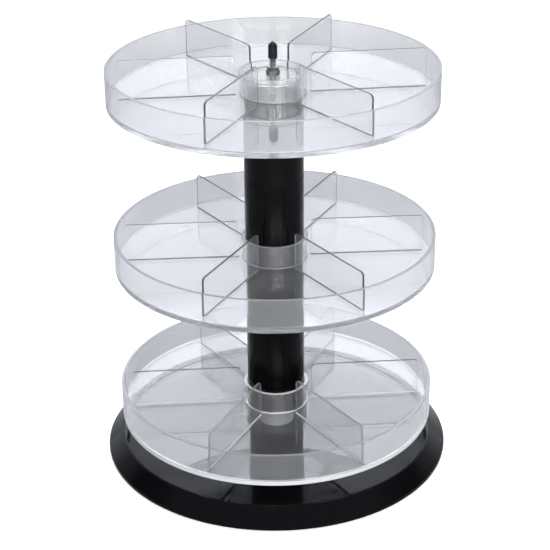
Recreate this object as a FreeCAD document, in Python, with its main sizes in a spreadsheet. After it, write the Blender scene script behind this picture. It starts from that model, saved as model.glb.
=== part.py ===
"""Three-tier revolving caddy: clear round trays turning on a rod that stands in a black base.

Axis of the rod = +Z, the surface it stands on = z 0, millimetres.
Each piece is drawn with its own foot at z 0 and is lifted into place by its Placement.
"""
import FreeCAD, Part
import Sketcher
import os

doc = FreeCAD.newDocument("RevolvingCaddy")
sheet = doc.addObject("Spreadsheet::Sheet", "Dims")

# ---- driving dimensions -------------------------------------------------------------------------

DIMENSIONS = {
    # trays
    "tray_radius": 152.4,          # 12 inch disc
    "tray_height": 32.0,           # underside to rim
    "floor_thickness": 4.8,
    "wall_thickness": 3.0,
    "sheet_edge_round": 0.4,       # flame-polished edges
    # heights of the three tray undersides
    "lower_underside": 39.7,
    "middle_underside": 196.7,
    "upper_underside": 359.7,
    # how far each tier is turned at rest, degrees
    "lower_turn": 4.0,
    "middle_turn": 3.4,
    "upper_turn": 6.2,
    # dividers
    "divider_inner": 35.3,
    "divider_outer": 141.5,
    "divider_height": 36.5,
    "divider_thickness": 2.0,
    "divider_corner": 4.0,
    "divider_edge_round": 0.3,
    # hub: a collar outside the column and a cup inside it
    "collar_radius": 31.75,
    "collar_wall": 3.175,
    "collar_height": 21.5,
    "cup_radius": 26.5,
    "cup_wall": 2.5,
    "cup_height": 17.0,
    # columns between the trays
    "column_radius": 28.0,
    "column_wall": 1.3,
    "column_gap": 0.3,             # free turning gap under the tray above
    "plug_thickness": 4.0,
    "plug_ease": 0.05,
    # rod, nuts, washers
    "rod_radius": 3.175,           # quarter inch
    "rod_foot": 5.6,
    "rod_length": 403.4,
    "rod_chamfer": 0.6,
    "running_gap": 0.1,            # radial, rod in tray and plug holes
    "thread_ease": 0.02,           # radial, where the thread of a nut or cap is left out
    "nut_flats": 11.1,
    "nut_thickness": 5.6,
    "jam_nut_thickness": 4.0,
    "nut_chamfer_rise": 1.0,
    "nut_chamfer_run": 2.0,
    "lock_nut_hexagon": 5.0,       # height of the hexagon of the top nut
    "lock_nut_height": 7.9,
    "lock_nut_shoulder": 5.1,      # radius of the round collar above the hexagon
    "lock_nut_shoulder_round": 0.8,
    "insert_radius": 4.2,
    "insert_height": 2.2,
    "insert_drop": 0.3,            # nylon ring below the lip of the nut
    "washer_radius": 9.0,
    "washer_thickness": 1.2,
    "top_nut_foot": 381.7,
    # thread cap
    "cap_foot": 397.3,
    "cap_radius": 4.25,
    "cap_length": 16.0,
    "cap_straight": 11.2,
    "cap_tip_radius": 0.9,
    "cap_shoulder_round": 5.0,
    "cap_end_round": 0.5,
    "cap_bore_depth": 12.0,
    # base shell
    "base_top": 18.9,
    "base_crease": 153.1,
    "base_radius": 168.0,
    "base_lip_top": 4.6,
    "base_rim": 1.0,               # rim stands this far above the surface
    "base_shell": 3.0,
    "base_crease_round": 3.0,
    "base_lip_round": 1.2,
    "base_ledge": 3.6,             # skirt thickness beside the bottom plate
    "hub_pad_radius": 18.0,
    "hub_pad_foot": 13.0,
    "rib_foot": 9.0,
    "rib_outer": 150.0,
    "rib_thickness": 2.0,
    "boss_circle": 146.0,
    "boss_radius": 4.2,
    # bottom plate, its screws and the feet
    "plate_foot": 2.0,
    "plate_thickness": 3.0,
    "plate_ease": 0.2,
    "screw_radius": 1.5,
    "screw_pilot_ease": 0.05,
    "screw_hole_ease": 0.3,
    "screw_head_radius": 3.0,
    "screw_head_height": 1.7,
    "screw_head_chamfer": 1.4,
    "screw_length": 10.0,
    "foot_circle": 132.0,
    "foot_radius": 9.0,
    "foot_round": 0.5,
    # pivot bush under the lower tray
    "bush_radius": 17.0,
    "bush_gap": 0.3,
    "spigot_radius": 8.0,
    "spigot_gap": 0.08,
    "bush_round": 0.6,
}

PLATE_SCREWS = 6
FEET = 4
DIVIDERS = 6

for row, (alias, number) in enumerate(DIMENSIONS.items(), start=1):
    sheet.set(f"A{row}", alias)
    sheet.set(f"B{row}", str(number))
    sheet.setAlias(f"B{row}", alias)
doc.recompute()


class Size:
    """A length worked out from the sheet: its value now, and the expression that keeps it so."""

    def __init__(self, value, text):
        self.value = value
        self.text = text

    def __add__(self, other):
        return Size(self.value + other.value, f"{self.text} + {other.text}")

    def __sub__(self, other):
        return Size(self.value - other.value, f"{self.text} - ({other.text})")

    def __mul__(self, factor):
        return Size(self.value * factor, f"({self.text}) * {factor}")


def dim(alias):
    return Size(DIMENSIONS[alias], f"Dims.{alias}")


ZERO = Size(0.0, "0")
rod_hole = dim("rod_radius") + dim("running_gap")
thread_bore = dim("rod_radius") + dim("thread_ease")
ORIGIN_POINT = (-1, 1)             # the sketch's own origin, as a constraint names it
HORIZONTAL_AXIS = -1
VERTICAL_AXIS = -2
HALF_ROOT_THREE = 3 ** 0.5 / 2

# ---- sketches -----------------------------------------------------------------------------------


def make_body(name):
    body = doc.addObject("PartDesign::Body", name)
    body.Label = name
    return body


def make_sketch(body, name, plane, lift=None):
    """An empty sketch on one of the body's own planes, raised along its normal by lift."""
    sketch = body.newObject("Sketcher::SketchObject", name)
    support = next(f for f in body.Origin.OriginFeatures if f.Role == plane)
    sketch.AttachmentSupport = [(support, "")]
    sketch.MapMode = "FlatFace"
    if lift is not None:
        sketch.setExpression("AttachmentOffset.Base.z", lift.text)
    return sketch


def pin_point(sketch, geometry, point, x, y):
    """Hold a point at (x, y) from the sketch's origin."""
    for size, kind, axis in ((x, "DistanceX", VERTICAL_AXIS), (y, "DistanceY", HORIZONTAL_AXIS)):
        if size is ZERO:
            sketch.addConstraint(Sketcher.Constraint("PointOnObject", geometry, point, axis))
        else:
            held = Sketcher.Constraint(kind, *ORIGIN_POINT, geometry, point, size.value)
            index = sketch.addConstraint(held)
            sketch.setExpression(f"Constraints[{index}]", size.text)


def draw_outline(sketch, corners):
    """A closed run of straight lines through the corners, each corner held by its two sizes."""
    points = [FreeCAD.Vector(x.value, y.value, 0) for x, y in corners]
    first = sketch.GeometryCount
    count = len(corners)
    for i in range(count):
        sketch.addGeometry(Part.LineSegment(points[i], points[(i + 1) % count]), False)
    for i in range(count):
        after = first + (i + 1) % count
        sketch.addConstraint(Sketcher.Constraint("Coincident", first + i, 2, after, 1))
    for i, (x, y) in enumerate(corners):
        pin_point(sketch, first + i, 1, x, y)


def draw_circle(sketch, radius, x=ZERO, y=ZERO):
    centre = FreeCAD.Vector(x.value, y.value, 0)
    up = FreeCAD.Vector(0, 0, 1)
    index = sketch.addGeometry(Part.Circle(centre, up, radius.value), False)
    if x is ZERO and y is ZERO:
        sketch.addConstraint(Sketcher.Constraint("Coincident", index, 3, *ORIGIN_POINT))
    else:
        pin_point(sketch, index, 3, x, y)
    held = sketch.addConstraint(Sketcher.Constraint("Radius", index, radius.value))
    sketch.setExpression(f"Constraints[{held}]", radius.text)


# ---- features -----------------------------------------------------------------------------------


def pad(body, sketch, length, name="Pad"):
    feature = body.newObject("PartDesign::Pad", name)
    feature.Profile = sketch
    feature.setExpression("Length", length.text)
    sketch.Visibility = False
    return feature


def revolve(body, sketch, name="Turning"):
    feature = body.newObject("PartDesign::Revolution", name)
    feature.Profile = sketch
    feature.ReferenceAxis = (sketch, ["V_Axis"])
    feature.Angle = 360
    return feature


def polar(body, features, count, name="Around"):
    """Repeat features about the body's Z axis."""
    pattern = body.newObject("PartDesign::PolarPattern", name)
    pattern.Originals = features
    pattern.Axis = (next(f for f in body.Origin.OriginFeatures if f.Role == "Z_Axis"), [""])
    pattern.Angle = 360
    pattern.Occurrences = count
    body.Tip = pattern
    return pattern


def ring_edges(feature, heights=None, radii=None):
    """Names of the full-circle edges at any of these heights and any of these radii."""
    names = []
    for i, edge in enumerate(feature.Shape.Edges, start=1):
        if not isinstance(edge.Curve, Part.Circle):
            continue
        high = heights is None or any(abs(edge.Curve.Center.z - s.value) < 1e-3 for s in heights)
        wide = radii is None or any(abs(edge.Curve.Radius - s.value) < 1e-3 for s in radii)
        if high and wide:
            names.append(f"Edge{i}")
    return names


def dress(body, kind, feature, edges, size, name):
    """A Fillet or Chamfer of one size on the named edges."""
    dressed = body.newObject(f"PartDesign::{kind}", name)
    dressed.Base = (feature, edges)
    dressed.setExpression("Radius" if kind == "Fillet" else "Size", size.text)
    doc.recompute()
    return dressed


def lift(piece, height, turn=None):
    """Put a finished piece at its height, and turn it about the rod."""
    piece.setExpression("Placement.Base.z", height.text)
    if turn is not None:
        piece.setExpression("Placement.Rotation.Angle", f"({turn.text}) * 1 deg")


# ---- tray pieces --------------------------------------------------------------------------------


def ring(name, outer, inner, height, foot, edge_round=None):
    """A flat disc with a hole, or a short tube, standing at foot."""
    body = make_body(name)
    sketch = make_sketch(body, name + "_circles", "XY_Plane")
    draw_circle(sketch, outer)
    draw_circle(sketch, inner)
    blank = pad(body, sketch, height)
    doc.recompute()
    if edge_round is not None:
        edges = ring_edges(blank, heights=(ZERO, height), radii=(outer, inner))
        dress(body, "Fillet", blank, edges, edge_round, "PolishedEdges")
    lift(body, foot)
    return body


def tray_floor(name, underside, hole):
    """The clear disc; only its rim is rounded, the hole stays sharp for its shaft."""
    body = make_body(name)
    sketch = make_sketch(body, name + "_circles", "XY_Plane")
    draw_circle(sketch, dim("tray_radius"))
    draw_circle(sketch, hole)
    blank = pad(body, sketch, dim("floor_thickness"))
    doc.recompute()
    rim = ring_edges(blank, radii=(dim("tray_radius"),))
    dress(body, "Fillet", blank, rim, dim("sheet_edge_round"), "PolishedEdges")
    lift(body, underside)
    return body


def hub_cup(name, foot, hole):
    """An upturned cup inside the collar: its rim stands on the floor and the rod goes through its top."""
    outer = dim("cup_radius")
    inner = outer - dim("cup_wall")
    top = dim("cup_height")
    under = top - dim("cup_wall")
    body = make_body(name)
    sketch = make_sketch(body, name + "_section", "XZ_Plane")
    draw_outline(
        sketch,
        [(inner, ZERO), (outer, ZERO), (outer, top), (hole, top), (hole, under), (inner, under)],
    )
    blank = revolve(body, sketch)
    doc.recompute()
    edges = ring_edges(blank, heights=(top,), radii=(outer,))
    dress(body, "Fillet", blank, edges, dim("sheet_edge_round"), "PolishedEdges")
    lift(body, foot)
    return body


def divider(name, foot, turn):
    """An upright sheet along a radius, its two upper corners rounded and its edges polished."""
    near = dim("divider_inner")
    far = dim("divider_outer")
    top = dim("divider_height")
    body = make_body(name)
    sketch = make_sketch(body, name + "_face", "XZ_Plane")
    draw_outline(sketch, [(near, ZERO), (far, ZERO), (far, top), (near, top)])
    blank = pad(body, sketch, dim("divider_thickness"))
    blank.SideType = "Symmetric"
    doc.recompute()
    corners = []
    for i, edge in enumerate(blank.Shape.Edges, start=1):
        box = edge.BoundBox
        if abs(box.ZMin - top.value) < 1e-3 and box.YLength > 1e-3 and box.XLength < 1e-3:
            corners.append(f"Edge{i}")
    rounded = dress(body, "Fillet", blank, corners, dim("divider_corner"), "RoundedCorners")
    side = DIMENSIONS["divider_thickness"] / 2
    edges = []
    for i, edge in enumerate(rounded.Shape.Edges, start=1):
        box = edge.BoundBox
        on_face = abs(abs(box.YMin) - side) < 1e-3 and box.YLength < 1e-3
        if on_face and box.ZMax > 1e-3:
            edges.append(f"Edge{i}")
    dress(body, "Fillet", rounded, edges, dim("divider_edge_round"), "PolishedEdges")
    lift(body, foot, turn)
    return body


def tier(name, underside, turn, floor_hole):
    """One tray with its collar, cup and dividers."""
    floor_top = underside + dim("floor_thickness")
    wall_inner = dim("tray_radius") - dim("wall_thickness")
    wall_height = dim("tray_height") - dim("floor_thickness")
    collar_inner = dim("collar_radius") - dim("collar_wall")
    collar = (dim("collar_radius"), collar_inner, dim("collar_height"))
    polish = dim("sheet_edge_round")
    pieces = [
        tray_floor(f"{name}_tray_floor", underside, floor_hole),
        ring(f"{name}_tray_wall", dim("tray_radius"), wall_inner, wall_height, floor_top, polish),
        ring(f"{name}_hub_collar", *collar, floor_top, polish),
        hub_cup(f"{name}_hub_cup", floor_top, rod_hole),
    ]
    for i in range(DIVIDERS):
        step = Size(i * 360 / DIVIDERS, str(i * 360 / DIVIDERS))
        pieces.append(divider(f"{name}_divider_{i + 1}", floor_top, turn + step))
    return pieces


def column(name, underside_below, underside_above):
    """A black tube inside the collar of one tray, up to the tray above, with a plug round the rod."""
    foot = underside_below + dim("floor_thickness")
    length = underside_above - dim("column_gap") - foot
    inner = dim("column_radius") - dim("column_wall")
    plug_outer = inner - dim("plug_ease")
    plug_height = dim("plug_thickness")
    plug_foot = underside_above - dim("column_gap") - plug_height
    return [
        ring(f"{name}_column", dim("column_radius"), inner, length, foot),
        ring(f"{name}_column_plug", plug_outer, rod_hole, plug_height, plug_foot),
    ]


# ---- rod and fasteners --------------------------------------------------------------------------


def threaded_rod():
    body = make_body("threaded_rod")
    sketch = make_sketch(body, "rod_circle", "XY_Plane")
    draw_circle(sketch, dim("rod_radius"))
    blank = pad(body, sketch, dim("rod_length"))
    doc.recompute()
    ends = ring_edges(blank, radii=(dim("rod_radius"),))
    dress(body, "Chamfer", blank, ends, dim("rod_chamfer"), "ThreadStart")
    lift(body, dim("rod_foot"))
    return body


def draw_hexagon(sketch, flats):
    """A regular hexagon with one corner on the X axis, held by its distance across flats."""
    corner = flats * round(1 / (2 * HALF_ROOT_THREE), 6)
    circle = sketch.GeometryCount
    draw_circle(sketch, corner)
    sketch.setConstruction(circle, True)
    turns = [FreeCAD.Rotation(FreeCAD.Vector(0, 0, 1), 60 * i) for i in range(6)]
    points = [turn.multVec(FreeCAD.Vector(corner.value, 0, 0)) for turn in turns]
    first = sketch.GeometryCount
    for i in range(6):
        sketch.addGeometry(Part.LineSegment(points[i], points[(i + 1) % 6]), False)
    for i in range(6):
        side = first + i
        sketch.addConstraint(Sketcher.Constraint("Coincident", side, 2, first + (i + 1) % 6, 1))
        sketch.addConstraint(Sketcher.Constraint("PointOnObject", side, 1, circle))
        if i > 0:
            sketch.addConstraint(Sketcher.Constraint("Equal", first, side))
    sketch.addConstraint(Sketcher.Constraint("PointOnObject", first, 1, HORIZONTAL_AXIS))


def hex_nut(name, thickness, foot):
    """A hexagon bored to the rod, with its corners turned down at both ends."""
    flat = dim("nut_flats") * 0.5
    beyond = flat + dim("nut_chamfer_run")
    rise = dim("nut_chamfer_rise")
    body = make_body(name)
    sketch = make_sketch(body, name + "_hexagon", "XY_Plane")
    draw_hexagon(sketch, dim("nut_flats"))
    draw_circle(sketch, thread_bore)
    pad(body, sketch, thickness)
    doc.recompute()
    for end, face, shoulder in (("Lower", ZERO, rise), ("Upper", thickness, thickness - rise)):
        wedge = make_sketch(body, f"{name}_{end}_wedge", "XZ_Plane")
        draw_outline(wedge, [(flat, face), (beyond, face), (beyond, shoulder)])
        turning = body.newObject("PartDesign::Groove", f"{end}Corners")
        turning.Profile = wedge
        turning.ReferenceAxis = (wedge, ["V_Axis"])
        turning.Angle = 360
        doc.recompute()
    lift(body, foot)
    return body


def lock_nut(name, insert_name, foot):
    """A nut with a round collar above its hexagon, and the nylon ring held in that collar."""
    hexagon = dim("lock_nut_hexagon")
    top = dim("lock_nut_height")
    outer = dim("lock_nut_shoulder")
    ring_radius = dim("insert_radius")
    ring_top = top - dim("insert_drop")
    ring_foot = ring_top - dim("insert_height")
    body = hex_nut(name, hexagon, foot)
    sketch = make_sketch(body, "shoulder_section", "XZ_Plane")
    inside = hexagon - dim("nut_chamfer_rise")
    draw_outline(
        sketch,
        [
            (thread_bore, inside),
            (outer, inside),
            (outer, top),
            (ring_radius, top),
            (ring_radius, ring_foot),
            (thread_bore, ring_foot),
        ],
    )
    collar = revolve(body, sketch, "Shoulder")
    doc.recompute()
    edges = ring_edges(collar, (top,), (outer,))
    dress(body, "Fillet", collar, edges, dim("lock_nut_shoulder_round"), "Dome")
    insert = ring(
        insert_name,
        ring_radius - dim("thread_ease"),
        thread_bore,
        dim("insert_height"),
        foot + ring_foot,
    )
    return [body, insert]


def thread_cap():
    """A soft pointed cap pushed over the end of the rod."""
    outer = dim("cap_radius")
    bore = thread_bore
    straight = dim("cap_straight")
    tip = dim("cap_tip_radius")
    top = dim("cap_length")
    depth = dim("cap_bore_depth")
    body = make_body("thread_cap")
    sketch = make_sketch(body, "cap_section", "XZ_Plane")
    draw_outline(
        sketch,
        [
            (bore, ZERO),
            (outer, ZERO),
            (outer, straight),
            (tip, top),
            (ZERO, top),
            (ZERO, depth),
            (bore, depth),
        ],
    )
    blank = revolve(body, sketch)
    doc.recompute()
    shoulder = ring_edges(blank, heights=(straight,))
    nose = dress(body, "Fillet", blank, shoulder, dim("cap_shoulder_round"), "Shoulder")
    ends = ring_edges(nose, heights=(ZERO,), radii=(outer,)) + ring_edges(nose, heights=(top,))
    dress(body, "Fillet", nose, ends, dim("cap_end_round"), "EndRounds")
    lift(body, dim("cap_foot"))
    return body


# ---- base ---------------------------------------------------------------------------------------


def base_shell():
    """Flat top, sloping skirt and upright lip, hollow below, with ribs and screw bosses inside."""
    top = dim("base_top")
    under = top - dim("base_shell")
    rim = dim("base_rim")
    lip = dim("base_lip_top")
    edge = dim("base_radius")
    crease = dim("base_crease")
    recess = edge - dim("base_ledge")
    ledge = recess - dim("base_shell")
    plate_top = dim("plate_foot") + dim("plate_thickness")
    hole = rod_hole
    body = make_body("base_shell")
    sketch = make_sketch(body, "shell_section", "XZ_Plane")
    draw_outline(
        sketch,
        [
            (hole, dim("hub_pad_foot")),
            (dim("hub_pad_radius"), dim("hub_pad_foot")),
            (dim("hub_pad_radius"), under),
            (crease - dim("base_shell"), under),
            (ledge, plate_top),
            (recess, plate_top),
            (recess, rim),
            (edge, rim),
            (edge, lip),
            (crease, top),
            (hole, top),
        ],
    )
    blank = revolve(body, sketch)
    doc.recompute()
    crease_edge = ring_edges(blank, (top,), (crease,))
    creased = dress(body, "Fillet", blank, crease_edge, dim("base_crease_round"), "Crease")
    lip_edges = ring_edges(creased, (lip,), (edge,))
    lipped = dress(body, "Fillet", creased, lip_edges, dim("base_lip_round"), "Lip")

    overlap = dim("base_shell") * 0.5
    rib_sketch = make_sketch(body, "rib_face", "XY_Plane", dim("rib_foot"))
    half = dim("rib_thickness") * 0.5
    inner = dim("hub_pad_radius") - overlap
    draw_outline(
        rib_sketch,
        [(inner, half * -1), (dim("rib_outer"), half * -1), (dim("rib_outer"), half), (inner, half)],
    )
    rib = pad(body, rib_sketch, under + overlap - dim("rib_foot"), "Rib")
    doc.recompute()
    ribs = polar(body, [rib], PLATE_SCREWS, "Ribs")
    doc.recompute()

    boss_sketch = make_sketch(body, "boss_circles", "XY_Plane", plate_top)
    across = dim("boss_circle") * HALF_ROOT_THREE
    along = dim("boss_circle") * 0.5
    draw_circle(boss_sketch, dim("boss_radius"), across, along)
    draw_circle(boss_sketch, dim("screw_radius") + dim("screw_pilot_ease"), across, along)
    boss = pad(body, boss_sketch, under + overlap - plate_top, "Boss")
    doc.recompute()
    polar(body, [boss], PLATE_SCREWS, "Bosses")
    doc.recompute()
    return body


def base_plate():
    """The disc that closes the base underneath, countersunk for its screws."""
    body = make_body("base_bottom_plate")
    sketch = make_sketch(body, "plate_circle", "XY_Plane")
    draw_circle(sketch, dim("base_radius") - dim("base_ledge") - dim("plate_ease"))
    pad(body, sketch, dim("plate_thickness"))
    doc.recompute()
    across = dim("boss_circle") * HALF_ROOT_THREE
    along = dim("boss_circle") * 0.5
    through = dim("screw_radius") + dim("screw_hole_ease")
    head = dim("screw_head_radius") + dim("screw_hole_ease")
    cuts = (
        ("Through", through, dim("plate_thickness")),
        ("Recess", head, dim("screw_head_height")),
    )
    holes = []
    for name, radius, depth in cuts:
        hole_sketch = make_sketch(body, f"{name}_circle", "XY_Plane")
        draw_circle(hole_sketch, radius, across, along)
        cut = body.newObject("PartDesign::Pocket", name)
        cut.Profile = hole_sketch
        cut.setExpression("Length", depth.text)
        cut.Reversed = True
        holes.append(cut)
        doc.recompute()
    polar(body, holes, PLATE_SCREWS, "ScrewHoles")
    lift(body, dim("plate_foot"))
    return body


def plate_screws():
    """Six countersunk screws, heads down, in one node."""
    across = dim("boss_circle") * HALF_ROOT_THREE
    along = dim("boss_circle") * 0.5
    body = make_body("plate_screws")
    head_sketch = make_sketch(body, "head_circle", "XY_Plane")
    draw_circle(head_sketch, dim("screw_head_radius"), across, along)
    head = pad(body, head_sketch, dim("screw_head_height"), "Head")
    doc.recompute()
    upper = ring_edges(head, heights=(dim("screw_head_height"),))
    cone = dress(body, "Chamfer", head, upper, dim("screw_head_chamfer"), "Countersink")
    shank_sketch = make_sketch(body, "shank_circle", "XY_Plane")
    draw_circle(shank_sketch, dim("screw_radius"), across, along)
    shank = pad(body, shank_sketch, dim("screw_length"), "Shank")
    doc.recompute()
    polar(body, [head, cone, shank], PLATE_SCREWS, "Screws")
    lift(body, dim("plate_foot"))
    return body


def rubber_feet():
    """Four round feet stuck under the bottom plate, in one node."""
    body = make_body("rubber_feet")
    sketch = make_sketch(body, "foot_circle", "XY_Plane")
    diagonal = dim("foot_circle") * round(0.5 ** 0.5, 6)
    draw_circle(sketch, dim("foot_radius"), diagonal, diagonal)
    foot = pad(body, sketch, dim("plate_foot"))
    doc.recompute()
    lower = ring_edges(foot, heights=(ZERO,))
    rounded = dress(body, "Fillet", foot, lower, dim("foot_round"), "FootRound")
    polar(body, [foot, rounded], FEET, "Feet")
    return body


def pivot_bush():
    """White bush that carries the lower tray, with a spigot up through the tray's hole."""
    shoulder = dim("lower_underside") - dim("bush_gap") - dim("base_top")
    spigot_top = shoulder + dim("floor_thickness") + dim("bush_gap") + dim("bush_gap")
    outer = dim("bush_radius")
    spigot = dim("spigot_radius")
    bore = rod_hole
    body = make_body("pivot_bush")
    sketch = make_sketch(body, "bush_section", "XZ_Plane")
    draw_outline(
        sketch,
        [
            (bore, ZERO),
            (outer, ZERO),
            (outer, shoulder),
            (spigot, shoulder),
            (spigot, spigot_top),
            (bore, spigot_top),
        ],
    )
    blank = revolve(body, sketch)
    doc.recompute()
    edges = ring_edges(blank, (shoulder,), (outer,)) + ring_edges(blank, (spigot_top,), (spigot,))
    dress(body, "Fillet", blank, edges, dim("bush_round"), "EasedEdges")
    lift(body, dim("base_top"))
    return body


# ---- the whole object ---------------------------------------------------------------------------

spigot_hole = dim("spigot_radius") + dim("spigot_gap")
lower, middle, upper = (dim(f"{name}_underside") for name in ("lower", "middle", "upper"))
spigot_top = lower + dim("floor_thickness") + dim("bush_gap")
jam_nut_foot = spigot_top + dim("washer_thickness")
foot_washer_foot = dim("hub_pad_foot") - dim("washer_thickness")

pieces = [base_shell(), base_plate(), plate_screws(), rubber_feet(), pivot_bush(), threaded_rod()]
for washer_name, washer_foot in (("foot_washer", foot_washer_foot), ("pivot_washer", spigot_top)):
    washer = ring(washer_name, dim("washer_radius"), rod_hole, dim("washer_thickness"), washer_foot)
    pieces.append(washer)
pieces.append(hex_nut("foot_nut", dim("nut_thickness"), foot_washer_foot - dim("nut_thickness")))
pieces.append(hex_nut("pivot_nut", dim("jam_nut_thickness"), jam_nut_foot))
pieces += lock_nut("top_nut", "top_nut_insert", dim("top_nut_foot"))
pieces.append(thread_cap())
pieces += tier("lower", lower, dim("lower_turn"), spigot_hole)
pieces += tier("middle", middle, dim("middle_turn"), rod_hole)
pieces += tier("upper", upper, dim("upper_turn"), rod_hole)
pieces += column("lower", lower, middle)
pieces += column("upper", middle, upper)
doc.recompute()

for made in doc.Objects:
    if "Invalid" in made.State or "Error" in made.State:
        raise RuntimeError(f"{made.Label} failed: {made.State}")

os.makedirs("parts", exist_ok=True)
for piece in pieces:
    if piece.Shape.isNull() or not piece.Shape.isValid():
        raise RuntimeError(f"{piece.Label} has no valid shape")
    piece.Shape.exportStep(f"parts/{piece.Label}.step")
    print(f"{piece.Label:24s} solids {len(piece.Shape.Solids)}  volume {piece.Shape.Volume:.0f}")
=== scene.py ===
"""Looks of the revolving tool caddy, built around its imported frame. Metres, +Z up, origin under the rod."""
import math

import bmesh
import bpy
from mathutils import Matrix, Vector


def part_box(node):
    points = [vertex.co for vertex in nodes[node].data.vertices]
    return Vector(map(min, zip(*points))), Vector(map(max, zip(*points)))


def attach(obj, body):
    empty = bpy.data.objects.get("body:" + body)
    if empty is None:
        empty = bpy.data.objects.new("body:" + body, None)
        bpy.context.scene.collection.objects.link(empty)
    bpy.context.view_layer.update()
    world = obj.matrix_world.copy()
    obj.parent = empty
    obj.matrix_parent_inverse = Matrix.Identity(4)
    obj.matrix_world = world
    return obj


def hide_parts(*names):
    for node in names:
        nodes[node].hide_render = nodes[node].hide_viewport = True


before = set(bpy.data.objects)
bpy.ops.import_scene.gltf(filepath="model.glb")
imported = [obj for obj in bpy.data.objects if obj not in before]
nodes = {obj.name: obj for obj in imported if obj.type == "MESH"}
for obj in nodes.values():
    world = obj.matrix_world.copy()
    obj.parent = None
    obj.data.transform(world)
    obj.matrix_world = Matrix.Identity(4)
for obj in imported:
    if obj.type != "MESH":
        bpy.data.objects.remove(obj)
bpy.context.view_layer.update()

scene = bpy.context.scene

MM = 0.001
TIERS = ("lower", "middle", "upper")
DIVIDERS = 6
ROUND_STEPS = 288                  # round the trays and the base
SMALL_STEPS = 96                   # round the nuts, the cap and the bush
HUB_STEPS = 192                    # round the collars, cups and columns
TIER_TURN = {"lower": 4.0, "middle": 3.4, "upper": 6.2}  # of the first divider, in degrees

# ---- meshes -------------------------------------------------------------------------------------

SAME_PLACE = 1e-7                  # points nearer than this are one point


def keep_flat(piece):
    """Weight the normals by face area, so that the large faces shade flat beside small roundings."""
    modifier = piece.modifiers.new("FlatFaces", "WEIGHTED_NORMAL")
    modifier.keep_sharp = True
    modifier.weight = 100


def finish_mesh(name, bm, sharp_degrees=40, weighted=True):
    """Turn a bmesh into an object with smooth faces, sharp edges past an angle, and flat faces kept flat."""
    bmesh.ops.remove_doubles(bm, verts=bm.verts, dist=SAME_PLACE)
    bmesh.ops.recalc_face_normals(bm, faces=bm.faces)
    for face in bm.faces:
        face.smooth = True
    for edge in bm.edges:
        edge.smooth = edge.calc_face_angle(0.0) < math.radians(sharp_degrees)
    mesh = bpy.data.meshes.new(name)
    bm.to_mesh(mesh)
    bm.free()
    piece = bpy.data.objects.new(name, mesh)
    scene.collection.objects.link(piece)
    if weighted:
        keep_flat(piece)
    return piece


def rounded(corners, steps=4):
    """Points of a closed outline: each corner is (x, y, radius), and a radius above 0 becomes an arc."""
    points = []
    count = len(corners)
    for i, (x, y, radius) in enumerate(corners):
        here = Vector((x, y))
        if radius <= 0:
            points.append(here)
            continue
        before = Vector(corners[i - 1][:2]) - here
        after = Vector(corners[(i + 1) % count][:2]) - here
        half = before.angle(after) / 2
        reach = radius / math.tan(half)
        start = here + before.normalized() * reach
        end = here + after.normalized() * reach
        middle = here + (before.normalized() + after.normalized()).normalized() * (radius / math.sin(half))
        first, last = start - middle, end - middle
        for k in range(steps + 1):
            points.append(middle + first.slerp(last, k / steps).normalized() * radius)
    return points


def lathe(name, corners, steps=ROUND_STEPS, arc_steps=4, sharp_degrees=40):
    """Turn a closed section of (radius, height, corner radius) points about the rod's axis."""
    section = rounded(corners, arc_steps)
    bm = bmesh.new()
    rings = []
    for i in range(steps):
        angle = 2 * math.pi * i / steps
        c, s = math.cos(angle), math.sin(angle)
        rings.append([bm.verts.new((p.x * c, p.x * s, p.y)) for p in section])
    for i in range(steps):
        here, there = rings[i], rings[(i + 1) % steps]
        for k in range(len(section)):
            after = (k + 1) % len(section)
            bm.faces.new([here[k], there[k], there[after], here[after]])
    bmesh.ops.dissolve_degenerate(bm, dist=SAME_PLACE, edges=bm.edges)
    return finish_mesh(name, bm, sharp_degrees)


def stand(piece, body, slot, *replaced):
    """Put a finished piece on its body in place of its plain solids; the slot argument, naming its finish, is
    not used.
    """
    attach(piece, body)
    if replaced:
        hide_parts(*replaced)
    return piece


# ---- materials ----------------------------------------------------------------------------------


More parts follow.
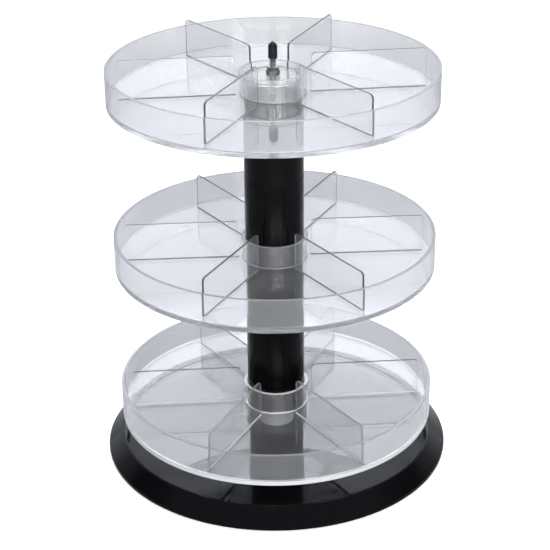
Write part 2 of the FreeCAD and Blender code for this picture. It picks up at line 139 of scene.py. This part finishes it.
class Shader:
    """A Principled material and short ways to add the nodes that feed it."""

    def __init__(self, name, **sockets):
        """Plain values are set by their sockets' names, with _ for each space."""
        self.material = bpy.data.materials.new(name)
        self.material.use_nodes = True
        self.tree = self.material.node_tree
        self.main = self.tree.nodes["Principled BSDF"]
        for socket, value in sockets.items():
            self.main.inputs[socket.replace("_", " ")].default_value = value
        self.place = self.add("ShaderNodeTexCoord").outputs["Object"]

    def add(self, kind, inputs=None, **settings):
        """A new node; each input takes either a plain value or another node's output."""
        node = self.tree.nodes.new(kind)
        for key, value in settings.items():
            setattr(node, key, value)
        for key, value in (inputs or {}).items():
            if hasattr(value, "is_linked"):
                self.tree.links.new(value, node.inputs[key])
            else:
                node.inputs[key].default_value = value
        return node

    def link(self, output, socket):
        """Feed one of the shader's own sockets."""
        self.tree.links.new(output, self.main.inputs[socket])

    def stretched(self, x, y, z):
        """The object's own coordinates, scaled by axis: a pattern runs long where the scale is small."""
        return self.add("ShaderNodeMapping", {"Vector": self.place, "Scale": (x, y, z)}).outputs["Vector"]

    def noise(self, scale, detail=3.0, roughness=0.5, vector=None):
        """Noise from 0 to 1; scale is in cells per metre."""
        inputs = {"Vector": vector or self.place, "Scale": scale, "Detail": detail, "Roughness": roughness}
        return self.add("ShaderNodeTexNoise", inputs).outputs["Fac"]

    def ramp(self, value, low, high, out_low=0.0, out_high=1.0):
        """A smooth step from one output to the other, between two values of the input."""
        inputs = {"Value": value, "From Min": low, "From Max": high, "To Min": out_low, "To Max": out_high}
        return self.add("ShaderNodeMapRange", inputs, interpolation_type="SMOOTHSTEP").outputs["Result"]

    def math(self, operation, a, b):
        return self.add("ShaderNodeMath", {0: a, 1: b}, operation=operation).outputs["Value"]

    def mix(self, factor, a, b):
        """Two colours mixed; the node's colour inputs are its 6 and 7, and its colour output is its 2."""
        inputs = {"Factor": factor, 6: a, 7: b}
        return self.add("ShaderNodeMix", inputs, data_type="RGBA").outputs[2]

    def bump(self, height, distance, normal=None):
        """Relief of a given depth in metres, laid over another normal if there is one."""
        inputs = {"Height": height, "Distance": distance}
        if normal is not None:
            inputs["Normal"] = normal
        return self.add("ShaderNodeBump", inputs).outputs["Normal"]

    def dress(self, *pieces):
        """Put the material on every slot of the pieces, and give a piece without slots its first."""
        for piece in pieces:
            materials = piece.data.materials
            if not materials:
                materials.append(None)
            for slot in range(len(materials)):
                materials[slot] = self.material


def clear_acrylic(name, tint, wave, rough, haze, specular=0.5):
    """Clear sheet: faint tint, slow waves, a milky haze, smears, specks and hairlines in its polish."""
    shader = Shader(name, IOR=1.49, Transmission_Weight=1 - haze, Specular_IOR_Level=specular)
    slow = shader.noise(14.0, 2.0)
    warm = [c * f for c, f in zip(tint, (1.0, 0.997, 0.990))] + [1.0]
    tone = shader.mix(shader.ramp(slow, 0.35, 0.65), (*tint, 1.0), warm)
    smears = shader.ramp(shader.noise(22.0, 4.0, 0.6), 0.30, 0.72)
    specks = shader.ramp(shader.noise(1500.0, 2.0), 0.70, 0.78)
    film = shader.math("MAXIMUM", shader.math("MULTIPLY", smears, 0.4), specks)
    shader.link(shader.mix(film, tone, (*[c * 0.96 for c in tint], 1.0)), "Base Color")
    hairlines = shader.noise(900.0, 2.0, vector=shader.stretched(1.0, 1.0, 0.08))
    marks = shader.ramp(hairlines, 0.62, 0.80)
    worn = shader.math("MAXIMUM", marks, specks)
    shader.link(shader.ramp(worn, 0.0, 1.0, rough, rough + 0.05), "Roughness")
    first = shader.bump(shader.noise(26.0, 1.0), wave)
    shader.link(shader.bump(marks, 2e-6, first), "Normal")
    return shader


def gloss_black(name, colour, rough, specular):
    """Moulded black plastic: faint orange peel, cloudy gloss, fine dust in the light."""
    shader = Shader(name, IOR=1.5, Specular_IOR_Level=specular)
    dust = shader.ramp(shader.noise(2600.0, 2.0), 0.70, 0.78)
    patches = shader.ramp(shader.noise(30.0, 4.0), 0.45, 0.75)
    specks = shader.math("MULTIPLY", dust, patches)
    shader.link(shader.mix(specks, (*colour, 1.0), (0.11, 0.11, 0.115, 1.0)), "Base Color")
    cloud = shader.ramp(shader.noise(45.0, 5.0), 0.3, 0.75, rough * 0.75, rough * 1.35)
    shader.link(shader.math("ADD", cloud, shader.math("MULTIPLY", specks, 0.3)), "Roughness")
    peel = shader.bump(shader.noise(420.0, 2.0), 6e-6)
    scuffs = shader.noise(700.0, 2.0, vector=shader.stretched(1.0, 0.1, 1.0))
    shader.link(shader.bump(shader.ramp(scuffs, 0.66, 0.75), 1e-6, peel), "Normal")
    return shader


def drawn_black(name, colour, rough):
    """Extruded black tube: faint draw lines along its length and a cloudy satin finish."""
    shader = Shader(name, IOR=1.5, Specular_IOR_Level=0.12)
    lines = shader.noise(520.0, 3.0, vector=shader.stretched(1.0, 1.0, 0.01))
    cloud = shader.noise(35.0, 4.0)
    tone = shader.mix(shader.ramp(lines, 0.3, 0.8), (*colour, 1.0), (*[c * 1.9 for c in colour], 1.0))
    dust = shader.ramp(shader.noise(2400.0, 2.0), 0.72, 0.80)
    shader.link(shader.mix(shader.math("MULTIPLY", dust, 0.5), tone, (0.03, 0.03, 0.032, 1.0)), "Base Color")
    shader.link(shader.ramp(cloud, 0.3, 0.8, rough * 0.85, rough * 1.25), "Roughness")
    shader.link(shader.bump(lines, 8e-6), "Normal")
    return shader


def plated_steel(name, colour, rough, spangle):
    """Zinc-plated steel: mottled grey metal, duller in places, with fine machining grain."""
    shader = Shader(name, Metallic=1.0)
    mottle = shader.ramp(shader.noise(spangle, 4.0, 0.6), 0.35, 0.7)
    dark = [c * 0.72 for c in colour]
    shader.link(shader.mix(mottle, (*dark, 1.0), (*colour, 1.0)), "Base Color")
    shader.link(shader.ramp(shader.noise(spangle * 2, 3.0), 0.3, 0.7, rough, rough + 0.16), "Roughness")
    grain = shader.noise(3800.0, 2.0, vector=shader.stretched(0.2, 0.2, 1.0))
    shader.link(shader.bump(grain, 5e-6), "Normal")
    return shader


def soft_plastic(name, colour, pale, rough, grain_scale, grain_depth, specular=0.4):
    """Matte moulded plastic, vinyl or rubber: two close tones and a fine grain."""
    shader = Shader(name, IOR=1.48, Specular_IOR_Level=specular)
    tone = shader.ramp(shader.noise(90.0, 5.0, 0.6), 0.3, 0.75)
    shader.link(shader.mix(tone, (*colour, 1.0), (*pale, 1.0)), "Base Color")
    grain = shader.noise(grain_scale, 3.0, 0.6)
    shader.link(shader.ramp(grain, 0.2, 0.8, rough - 0.06, rough + 0.08), "Roughness")
    shader.link(shader.bump(grain, grain_depth), "Normal")
    return shader


acrylic = clear_acrylic("clear_acrylic", (0.975, 0.981, 0.993), 6e-6, 0.0, 0.06)
# painted shade: dark grey cut edges stand in for the dark room that they refract
edge_painted_shade = clear_acrylic("edge_painted_shade", (0.09, 0.093, 0.10), 10e-6, 0.25, 0.70, 0.2)
# painted highlight and painted shade: grey rims read as light lines over black and dark lines over white
rim_painted_light_shade = clear_acrylic("rim_painted_light_shade", (0.44, 0.45, 0.47), 10e-6, 0.15, 0.45)
# painted light: near-white floor edge, collar rim, feet and cement on the lower tray
lower_painted_light = clear_acrylic("lower_painted_light", (0.94, 0.95, 0.97), 10e-6, 0.15, 0.70)
hub_clear = clear_acrylic("clear_hub", (0.975, 0.978, 0.965), 20e-6, 0.01, 0.08)
# painted shade: dark grey cement and feet along the joints of the middle and upper trays
cement = clear_acrylic("cement_painted_shade", (0.28, 0.285, 0.30), 10e-6, 0.10, 0.80)
base_black = gloss_black("base_gloss_black", (0.003, 0.003, 0.0036), 0.08, 0.12)
column_black = drawn_black("column_black", (0.0010, 0.0010, 0.0012), 0.09)
rod_zinc = plated_steel("rod_zinc", (0.55, 0.56, 0.58), 0.22, 260.0)
nut_steel = plated_steel("nut_steel", (0.22, 0.22, 0.23), 0.30, 420.0)
screw_black = plated_steel("screw_black", (0.08, 0.08, 0.085), 0.35, 700.0)
vinyl = soft_plastic("cap_vinyl", (0.006, 0.006, 0.007), (0.012, 0.012, 0.013), 0.34, 1800.0, 8e-6)
nylon = soft_plastic("bush_nylon", (0.90, 0.92, 0.89), (0.95, 0.96, 0.93), 0.38, 1500.0, 6e-6)
cover_black = soft_plastic("base_cover", (0.018, 0.018, 0.019), (0.03, 0.03, 0.031), 0.55, 1200.0, 2.5e-5)
plug_black = soft_plastic("plug_black", (0.012, 0.012, 0.013), (0.02, 0.02, 0.021), 0.6, 900.0, 2e-5)
foot_rubber = soft_plastic("foot_rubber", (0.02, 0.02, 0.02), (0.04, 0.04, 0.038), 0.75, 1600.0, 3e-5, 0.25)

# ---- trays --------------------------------------------------------------------------------------

WALL = 3.0 * MM                    # thickness of the upright rim
COLLAR_WALL = 3.175 * MM
CUP_WALL = 2.5 * MM
POLISH = 0.4 * MM                  # rounding of flame-polished edges
DIVIDER_INNER, DIVIDER_OUTER = 35.3 * MM, 141.5 * MM
DIVIDER_HALF = 1.0 * MM            # half its thickness
DIVIDER_CORNER = 4.0 * MM
ARRIS = 0.3 * MM                   # softening of a divider's cut edges
SEAM = 0.03 * MM                   # film of cement between two clear pieces
SHEET, EDGE, JOINT = 0, 1, 2       # material slots of a clear piece: its faces, cut edges and cemented foot; the last two hold painted shade or painted light


def node_ring(node):
    """Outer radius, foot and top of a round node."""
    low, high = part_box(node)
    return high.x, low.z, high.z


def tray_floor(name, hole):
    """The round floor sheet, with its outer edge in a finish of its own, which is painted light on the lower
    tray.
    """
    radius, foot, top = node_ring(name)
    section = [(hole, foot, 0), (radius, foot, POLISH), (radius, top, POLISH), (hole, top, 0)]
    piece = lathe(name + "_clear", section)
    for face in piece.data.polygons:
        if abs(face.normal.z) < 0.5 and face.center.xy.length > radius / 2:
            face.material_index = EDGE
    return piece


def upright_ring(name, wall, steps=ROUND_STEPS):
    """A short clear tube that stands on a tray floor; its top takes painted light or shade, and the tray
    wall's foot shows its cement in painted shade, or painted light on the lower tray.
    """
    radius, foot, top = node_ring(name)
    inner = radius - wall
    foot += SEAM
    section = [(inner, foot, 0), (radius, foot, 0), (radius, top, POLISH), (inner, top, POLISH)]
    piece = lathe(name + "_clear", section, steps)
    for face in piece.data.polygons:
        if face.normal.z > 0.5:
            face.material_index = EDGE
        elif face.normal.z < -0.5 and wall == WALL:
            face.material_index = JOINT
    return piece


def hub_cup(name):
    """An upturned clear cup inside the collar, with the rod's hole in its roof."""
    radius, foot, top = node_ring(name)
    inner = radius - CUP_WALL
    foot += SEAM
    under = top - CUP_WALL
    section = [
        (inner, foot, 0),
        (radius, foot, 0),
        (radius, top, POLISH),
        (ROD_HOLE, top, 0),
        (ROD_HOLE, under, 0),
        (inner, under, POLISH),
    ]
    return lathe(name + "_clear", section, HUB_STEPS)


def directions(degrees):
    """Unit vectors along and across a divider."""
    turn = math.radians(degrees)
    return Vector((math.cos(turn), math.sin(turn), 0)), Vector((-math.sin(turn), math.cos(turn), 0))


def divider(name, degrees):
    """An upright sheet with two rounded top corners and softened edges, turned to its place."""
    low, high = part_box(name)
    foot, top = low.z + SEAM, high.z
    corners = [
        (DIVIDER_INNER, foot, 0),
        (DIVIDER_OUTER, foot, 0),
        (DIVIDER_OUTER, top, DIVIDER_CORNER),
        (DIVIDER_INNER, top, DIVIDER_CORNER),
    ]
    outline = rounded(corners, 10)
    along, across = directions(degrees)
    bm = bmesh.new()
    sides = []
    for half in (-DIVIDER_HALF, DIVIDER_HALF):
        verts = [bm.verts.new(along * p.x + across * half + Vector((0, 0, p.y))) for p in outline]
        sides.append(verts)
        bm.faces.new(verts)
    count = len(outline)
    for i in range(count):
        after = (i + 1) % count
        bm.faces.new([sides[0][i], sides[0][after], sides[1][after], sides[1][i]])
    bm.normal_update()
    for face in bm.faces:
        # cut edges and the foot go to slots that hold painted shade or painted light
        flat = abs(face.normal.dot(across)) > 0.5
        at_foot = face.calc_center_median().z < foot + POLISH
        face.material_index = SHEET if flat else JOINT if at_foot else EDGE
    piece = finish_mesh(name + "_clear", bm, 50, weighted=False)
    edge = piece.modifiers.new("PolishedEdge", "BEVEL")
    edge.width = ARRIS
    edge.segments = 3
    edge.limit_method = "ANGLE"
    edge.angle_limit = math.radians(60)
    keep_flat(piece)
    return piece


BEAD = 0.6 * MM                    # leg of the cement fillet along a joint
BEAD_GAP = 0.01 * MM               # between a fillet and the sheet it lies against
BEAD_END = 0.4 * MM                # from the end of a divider to the end of its fillets


def ring_bead(name, radius, floor_top):
    """The hollow fillet of cement round the foot of a collar."""
    radius += BEAD_GAP
    foot = floor_top + SEAM
    section = [(radius, foot, 0), (radius + BEAD, foot, 0)]
    steps = 5
    for k in range(1, steps):
        turn = math.pi / 2 * k / steps
        section.append((radius + BEAD * (1 - math.sin(turn)), foot + BEAD * (1 - math.cos(turn)), 0))
    section.append((radius, foot + BEAD, 0))
    return lathe(name, section, HUB_STEPS, sharp_degrees=80)


def divider_bead(name, degrees, floor_top):
    """Hollow fillets of cement along both sides of a divider's foot."""
    along, across = directions(degrees)
    bm = bmesh.new()
    steps = 4
    for side in (-1, 1):
        section = [(0, 0), (BEAD, 0)]
        for k in range(1, steps):
            angle = math.pi / 2 * k / steps
            section.append((BEAD * (1 - math.sin(angle)), BEAD * (1 - math.cos(angle))))
        section.append((0, BEAD))
        ends = []
        for reach in (DIVIDER_INNER + BEAD_END, DIVIDER_OUTER - BEAD_END):
            end = []
            for out, up in section:
                sideways = across * side * (DIVIDER_HALF + BEAD_GAP + out)
                end.append(bm.verts.new(along * reach + sideways + Vector((0, 0, floor_top + SEAM + up))))
            bm.faces.new(end)
            ends.append(end)
        for k in range(len(section)):
            after = (k + 1) % len(section)
            bm.faces.new([ends[0][k], ends[0][after], ends[1][after], ends[1][k]])
    return finish_mesh(name, bm, 80, weighted=False)


SIDE_DIVIDERS = (1, 4)             # their cut edges keep the painted shade on the lower tray too


def tier(name, floor_hole):
    """One tray: sheets with their edges and joints in painted shade or painted light, the cup, and the cement
    along the joints.
    """
    body = name + "_tier"
    # the lower tray takes painted light on its floor edge, collar rim and joints; the other trays take plain
    # or painted shade
    pale = name == "lower"
    joint = lower_painted_light if pale else cement
    floor = tray_floor(f"{name}_tray_floor", floor_hole)
    wall = upright_ring(f"{name}_tray_wall", WALL)
    collar = upright_ring(f"{name}_hub_collar", COLLAR_WALL, HUB_STEPS)
    made = [
        (floor, "tray_floor", [lower_painted_light if pale else acrylic]),
        (wall, "tray_wall", [rim_painted_light_shade, joint]),
        (collar, "hub_collar", [lower_painted_light if pale else rim_painted_light_shade]),
    ]
    floor_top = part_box(f"{name}_tray_floor")[1].z
    collar_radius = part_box(f"{name}_hub_collar")[1].x
    beads = [ring_bead(f"{name}_collar_cement", collar_radius, floor_top)]
    for number in range(1, DIVIDERS + 1):
        degrees = TIER_TURN[name] + 360 / DIVIDERS * (number - 1)
        # the lower tray's dividers, except the side ones, take the grey rim's painted highlight and shade;
        # all others take the dark painted shade
        edge = rim_painted_light_shade if pale and number not in SIDE_DIVIDERS else edge_painted_shade
        made.append((divider(f"{name}_divider_{number}", degrees), f"divider_{number}", [edge, joint]))
        beads.append(divider_bead(f"{name}_divider_{number}_cement", degrees, floor_top))
    for piece, part, finishes in made:
        stand(piece, body, "clear_acrylic", f"{name}_{part}")
        acrylic.dress(piece)
        for finish in finishes:
            piece.data.materials.append(finish.material)
    cup = stand(hub_cup(f"{name}_hub_cup"), body, "clear_hub", f"{name}_hub_cup")
    hub_clear.dress(cup)
    for bead in beads:
        stand(bead, body, "clear_hub")
        joint.dress(bead)


SPIGOT_HOLE = 8.08 * MM            # in the lower floor, for the bush
ROD_HOLE = 3.275 * MM
for tier_name in TIERS:
    tier(tier_name, SPIGOT_HOLE if tier_name == "lower" else ROD_HOLE)

# ---- columns ------------------------------------------------------------------------------------

COLUMN_WALL = 1.3 * MM
COLUMN_EDGE = 0.25 * MM


def column(name, body):
    """A black tube with softened ends."""
    radius, foot, top = node_ring(name)
    inner = radius - COLUMN_WALL
    section = [
        (inner, foot, 0),
        (radius, foot, COLUMN_EDGE),
        (radius, top, COLUMN_EDGE),
        (inner, top, COLUMN_EDGE),
    ]
    piece = lathe(name + "_tube", section, HUB_STEPS)
    column_black.dress(piece)
    stand(piece, body, "column_black", name)


column("lower_column", "lower_tier")
column("upper_column", "middle_tier")

# ---- rod, nuts, cap -----------------------------------------------------------------------------

THREAD_PITCH = 1.27 * MM           # 20 turns to the inch
THREAD_DEPTH = 0.62 * MM
THREAD_ROOT = 0.18                 # share of the pitch that is flat in the groove
THREAD_FLANK = 0.66                # share of the pitch that slopes
THREAD_STEPS = 28                  # points round one turn
PITCH_STEPS = 8                    # points along one pitch
CREST_GAP = 0.02 * MM              # between the crest and the plain rod's surface
ROD_CHAMFER = 0.6 * MM


def thread_height(phase):
    """Height of the thread, 0 in the groove and 1 on the crest, along one pitch."""
    distance = abs(phase % 1.0 - 0.5) * 2
    return min(max((distance - THREAD_ROOT) / THREAD_FLANK, 0.0), 1.0)


def threaded_rod(name):
    """The rod with its thread, cut down to a cone at both ends."""
    radius, foot, top = node_ring(name)
    crest = radius - CREST_GAP
    rows = round((top - foot) / THREAD_PITCH * PITCH_STEPS)
    bm = bmesh.new()
    rings = []
    for row in range(rows + 1):
        z = foot + (top - foot) * row / rows
        end = min(z - foot, top - z)
        limit = radius - ROD_CHAMFER + end
        ring = []
        for k in range(THREAD_STEPS):
            turn = k / THREAD_STEPS
            height = thread_height(z / THREAD_PITCH - turn)
            r = min(crest - THREAD_DEPTH * (1 - height), limit)
            ring.append(bm.verts.new((r * math.cos(2 * math.pi * turn), r * math.sin(2 * math.pi * turn), z)))
        rings.append(ring)
    for here, there in zip(rings, rings[1:]):
        for k in range(THREAD_STEPS):
            after = (k + 1) % THREAD_STEPS
            bm.faces.new([here[k], here[after], there[after], there[k]])
    bm.faces.new(rings[0][::-1])
    bm.faces.new(rings[-1])
    piece = finish_mesh(name + "_thread", bm, 70, weighted=False)
    rod_zinc.dress(piece)
    stand(piece, "base", "zinc_steel", name)


threaded_rod("threaded_rod")

NUT_FLAT = 5.55 * MM               # half the distance across flats
NUT_CORNER = NUT_FLAT * 1.147      # the corners are turned down to this radius
NUT_FACE = NUT_FLAT * 0.985        # radius of the flat ring on each end
NUT_BORE = 3.195 * MM
NUT_LEAD = 0.35 * MM               # chamfer at the mouth of the bore
NUT_SLOPE = 0.5                    # fall of the turned corners
NUT_HEXAGON = 5.0 * MM             # height of the lock nut's hexagon
SHOULDER = 5.1 * MM                # radius of the collar that holds the nylon ring
SHOULDER_ROUND = 0.8 * MM
INSERT = 4.2 * MM                  # radius of the nylon ring
INSERT_GAP = 0.05 * MM
INSERT_DROP = 0.3 * MM
INSERT_HEIGHT = 2.2 * MM


def hexagon_nut(name, foot, top):
    """A hexagon whose corners are turned down to a cone at both ends."""
    bm = bmesh.new()
    columns = []
    for i in range(SMALL_STEPS):
        angle = 2 * math.pi * i / SMALL_STEPS
        off_flat = (angle + math.pi / 6) % (math.pi / 3) - math.pi / 6
        reach = min(NUT_FLAT / math.cos(math.pi / 6 - abs(off_flat)), NUT_CORNER)
        fall = (reach - NUT_FLAT) * NUT_SLOPE
        c, s = math.cos(angle), math.sin(angle)
        stations = [
            (NUT_BORE, foot),
            (NUT_FACE, foot),
            (reach, foot + fall),
            (reach, top - fall),
            (NUT_FACE, top),
            (NUT_BORE + NUT_LEAD, top),
            (NUT_BORE, top - NUT_LEAD),
        ]
        columns.append([bm.verts.new((r * c, r * s, z)) for r, z in stations])
    for i in range(SMALL_STEPS):
        here, there = columns[i], columns[(i + 1) % SMALL_STEPS]
        for k in range(len(here)):
            after = (k + 1) % len(here)
            bm.faces.new([here[k], there[k], there[after], here[after]])
    return finish_mesh(name, bm, 18, weighted=False)


def lock_nut():
    """The hexagon, the rounded collar on it, and the nylon ring in the collar."""
    _, foot, top = node_ring("top_nut")
    hexagon_top = foot + NUT_HEXAGON
    hexagon = hexagon_nut("top_nut_hexagon", foot, hexagon_top)
    pocket = INSERT + INSERT_GAP
    pocket_foot = top - INSERT_DROP - INSERT_HEIGHT
    collar = [
        (NUT_BORE, hexagon_top - SHOULDER_ROUND, 0),
        (SHOULDER, hexagon_top - SHOULDER_ROUND, 0),
        (SHOULDER, top, SHOULDER_ROUND),
        (pocket, top, 0.2 * MM),
        (pocket, pocket_foot, 0),
        (NUT_BORE, pocket_foot, 0),
    ]
    shoulder = lathe("top_nut_shoulder", collar, SMALL_STEPS)
    for piece in (hexagon, shoulder):
        nut_steel.dress(piece)
        stand(piece, "base", "nut_steel", "top_nut")
    _, ring_foot, ring_top = node_ring("top_nut_insert")
    ring_radius = INSERT - 0.02 * MM
    ring = [
        (NUT_BORE, ring_foot, 0),
        (ring_radius, ring_foot, 0),
        (ring_radius, ring_top, 0.3 * MM),
        (NUT_BORE, ring_top, 0.3 * MM),
    ]
    insert = lathe("top_nut_nylon", ring, SMALL_STEPS)
    nylon.dress(insert)
    stand(insert, "base", "bush_nylon", "top_nut_insert")


lock_nut()
for nut_name in ("foot_nut", "pivot_nut"):
    _, nut_foot, nut_top = node_ring(nut_name)
    nut = hexagon_nut(nut_name + "_hexagon", nut_foot, nut_top)
    rod_zinc.dress(nut)
    stand(nut, "base", "zinc_steel", nut_name)


CAP_NOSE = 5.4 * MM                # length of the tapered end
CAP_TAPER = 2.1                    # power of the taper: above 1 the nose is full and then pointed
CAP_TIP = 4.0 * MM                 # solid end above the bore


def thread_cap():
    """Soft cap: straight sleeve with a rounded mouth and a pointed nose."""
    radius, foot, top = node_ring("thread_cap")
    steps = 9
    outline = [(NUT_BORE, foot, 0), (radius, foot, 0.7 * MM)]
    for k in range(steps):
        share = k / steps
        outline.append((radius * (1 - share ** CAP_TAPER), top - CAP_NOSE * (1 - share), 0))
    outline += [
        (0.35 * MM, top - 0.05 * MM, 0),
        (0, top, 0),
        (0, top - CAP_TIP, 0),
        (NUT_BORE, top - CAP_TIP, 0),
    ]
    piece = lathe("thread_cap_vinyl", outline, SMALL_STEPS)
    vinyl.dress(piece)
    stand(piece, "base", "cap_vinyl", "thread_cap")


thread_cap()

# ---- base ---------------------------------------------------------------------------------------

BASE_CREASE = 153.1 * MM           # radius where the flat top meets the skirt
BASE_WALL = 3.0 * MM
LIP_TOP = 4.6 * MM
LIP_WALL = 3.6 * MM
LEDGE = 5.0 * MM                   # height of the step that the bottom plate fits under
BOSS_RADIUS = 18.0 * MM            # thick middle round the rod
BOSS_DEPTH = 5.9 * MM


def base_shell():
    """The moulding that shows: flat top, rounded crease, sloping skirt, lip and rim, hollow below."""
    radius, rim, top = node_ring("base_shell")
    inner = radius - LIP_WALL
    section = [
        (ROD_HOLE, top - BOSS_DEPTH, 0),
        (BOSS_RADIUS, top - BOSS_DEPTH, 0.5 * MM),
        (BOSS_RADIUS, top - BASE_WALL, 1.0 * MM),
        (BASE_CREASE - BASE_WALL, top - BASE_WALL, 2.0 * MM),
        (inner - BASE_WALL, LEDGE, 0),
        (inner, LEDGE, 0),
        (inner, rim, 0.3 * MM),
        (radius, rim, 0.5 * MM),
        (radius, LIP_TOP, 1.2 * MM),
        (BASE_CREASE, top, 3.0 * MM),
        (ROD_HOLE, top, 0.3 * MM),
    ]
    piece = lathe("base_shell_gloss", section, arc_steps=7)
    base_black.dress(piece)
    stand(piece, "base", "black_gloss", "base_shell")


base_shell()


SPIGOT_HEIGHT = 5.4 * MM
SPIGOT_RADIUS = 8.0 * MM


def pivot_bush():
    """A stout bush with a narrower spigot on top, bored for the rod."""
    radius, foot, top = node_ring("pivot_bush")
    shoulder = top - SPIGOT_HEIGHT
    section = [
        (ROD_HOLE, foot, 0.3 * MM),
        (radius, foot, 0.5 * MM),
        (radius, shoulder, 0.6 * MM),
        (SPIGOT_RADIUS, shoulder, 0.2 * MM),
        (SPIGOT_RADIUS, top, 0.6 * MM),
        (ROD_HOLE, top, 0.3 * MM),
    ]
    piece = lathe("pivot_bush_nylon", section, SMALL_STEPS)
    nylon.dress(piece)
    stand(piece, "base", "bush_nylon", "pivot_bush")


pivot_bush()

# Nodes whose own shape is right keep it and get their finish.
rod_zinc.dress(nodes["foot_washer"], nodes["pivot_washer"])
screw_black.dress(nodes["plate_screws"])
cover_black.dress(nodes["base_bottom_plate"])
foot_rubber.dress(nodes["rubber_feet"])
plug_black.dress(nodes["lower_column_plug"], nodes["upper_column_plug"])

# ---- camera -------------------------------------------------------------------------------------

camera = bpy.data.objects.new("camera", bpy.data.cameras.new("camera"))
scene.collection.objects.link(camera)
camera.data.lens = 102.25
camera.data.sensor_width = 36
CAMERA_PLACE = (0, -1.3554, 0.8302)
PITCH = math.radians(25.62)        # below the horizon
ROLL = math.radians(-0.59)
upright = Matrix.Rotation(math.pi / 2 - PITCH, 4, "X")
camera.matrix_world = Matrix.Translation(CAMERA_PLACE) @ upright @ Matrix.Rotation(ROLL, 4, "Z")
scene.camera = camera

# ---- table and light ----------------------------------------------------------------------------

TABLE_RADIUS = 12.0
TABLE_GAP = 0.05 * MM              # keeps the table's face apart from the feet's
TABLE_PALE = (0.90, 0.90, 0.90, 1)
TABLE_DIM = (0.42, 0.425, 0.44, 1)
TABLE_LIFT = 0.35                  # keeps the table near white where the lamps fall off
TABLE_FAR = (0.95, 1.5)            # behind the object, where the lamps stop reaching the table


def table_paint():
    """A pale table, dimmer in what the object reflects and shows through itself."""
    shader = Shader("table_paint", Roughness=0.9, Specular_IOR_Level=0.1)
    depth = shader.add("ShaderNodeSeparateXYZ", {0: shader.place}).outputs["Y"]
    seen = shader.add("ShaderNodeLightPath").outputs["Is Camera Ray"]
    shader.link(shader.mix(seen, TABLE_DIM, TABLE_PALE), "Base Color")
    shader.main.inputs["Emission Color"].default_value = (1, 1, 1, 1)
    lifted = shader.math("MAXIMUM", shader.ramp(depth, *TABLE_FAR), seen)
    shader.link(shader.math("MULTIPLY", lifted, TABLE_LIFT), "Emission Strength")
    return shader


def table():
    """A wide round table top just under the feet."""
    bm = bmesh.new()
    place = Matrix.Translation((0, 0, -TABLE_GAP))
    bmesh.ops.create_circle(bm, cap_ends=True, segments=128, radius=TABLE_RADIUS, matrix=place)
    top = finish_mesh("floor", bm, weighted=False)
    table_paint().dress(top)


table()


def softbox(name, place, target, size, power):
    """A rectangular lamp that faces a point."""
    light = bpy.data.lights.new(name, "AREA")
    light.shape = "RECTANGLE"
    light.size, light.size_y = size
    light.energy = power
    lamp = bpy.data.objects.new(name, light)
    scene.collection.objects.link(lamp)
    lamp.location = place
    lamp.rotation_euler = (Vector(target) - Vector(place)).to_track_quat("-Z", "Y").to_euler()
    return lamp


softbox("top_box", place=(0.1, 0.45, 1.6), target=(0, 0.1, 0), size=(1.4, 1.0), power=24)
fill = softbox("front_fill", place=(0.15, -1.1, 0.65), target=(0, 0, 0.15), size=(0.9, 0.6), power=14)
fill.visible_glossy = False        # a broad fill that leaves no shape in the gloss

# brightness of what stands round the table
SKY_ROOM = 0.45                    # dim room in front
SKY_CARD = 0.03                    # black cards at the left and right
SKY_HORIZON = 1.0                  # the foot of the wall behind
SKY_LOW = 1.6                      # the pale wall above its foot
SKY_BOX = 3.4                      # wide softbox in front of the wall
SKY_TINT = (0.90, 0.93, 1.0, 1)
# directions where one gives way to the next, as parts of a unit vector
CARD_EDGE = (0.70, 0.86)           # sideways
WALL_EDGE = (0.25, 0.70)           # backwards
WALL_FOOT = (0.27, 0.35)           # upwards, as are the softbox's foot and top
BOX_FOOT = (0.440, 0.462)
BOX_TOP = (0.553, 0.570)
BOX_SIDE = (0.36, 0.52)            # sideways


def sky():
    """The room by direction: dim in front, cards at the sides, a pale wall behind and a softbox before it."""
    world = bpy.data.worlds.new("studio")
    scene.world = world
    world.use_nodes = True
    tree = world.node_tree

    def node(kind, **settings):
        made = tree.nodes.new(kind)
        for key, value in settings.items():
            setattr(made, key, value)
        return made

    def step(value, edge, before=0.0, after=1.0):
        made = node("ShaderNodeMapRange", interpolation_type="SMOOTHSTEP")
        tree.links.new(value, made.inputs["Value"])
        made.inputs["From Min"].default_value, made.inputs["From Max"].default_value = edge
        made.inputs["To Min"].default_value = before
        made.inputs["To Max"].default_value = after
        return made.outputs["Result"]

    def combine(operation, a, b):
        made = node("ShaderNodeMath", operation=operation)
        tree.links.new(a, made.inputs[0])
        if hasattr(b, "is_linked"):
            tree.links.new(b, made.inputs[1])
        else:
            made.inputs[1].default_value = b
        return made.outputs["Value"]

    split = node("ShaderNodeSeparateXYZ")
    tree.links.new(node("ShaderNodeTexCoord").outputs["Generated"], split.inputs[0])
    x, y, z = (split.outputs[axis] for axis in "XYZ")
    aside = combine("ABSOLUTE", x, 0.0)
    behind = step(y, WALL_EDGE)
    tall = combine("MULTIPLY", step(z, BOX_FOOT), step(z, BOX_TOP, 1.0, 0.0))
    wide = combine("MULTIPLY", step(aside, BOX_SIDE, 1.0, 0.0), behind)
    box = combine("MULTIPLY", tall, wide)
    wall = combine("MULTIPLY", behind, step(z, WALL_FOOT, SKY_HORIZON - SKY_ROOM, SKY_LOW - SKY_ROOM))
    room = step(aside, CARD_EDGE, SKY_ROOM, SKY_CARD)
    glow = combine("ADD", wall, room)
    bright = combine("ADD", glow, combine("MULTIPLY", box, SKY_BOX - SKY_LOW))
    shade = tree.nodes["Background"]
    shade.inputs["Color"].default_value = SKY_TINT
    tree.links.new(bright, shade.inputs["Strength"])


sky()
scene.view_settings.view_transform = "Standard"
scene.cycles.max_bounces = 40
scene.cycles.transmission_bounces = 40
scene.cycles.glossy_bounces = 40
scene.cycles.diffuse_bounces = 4
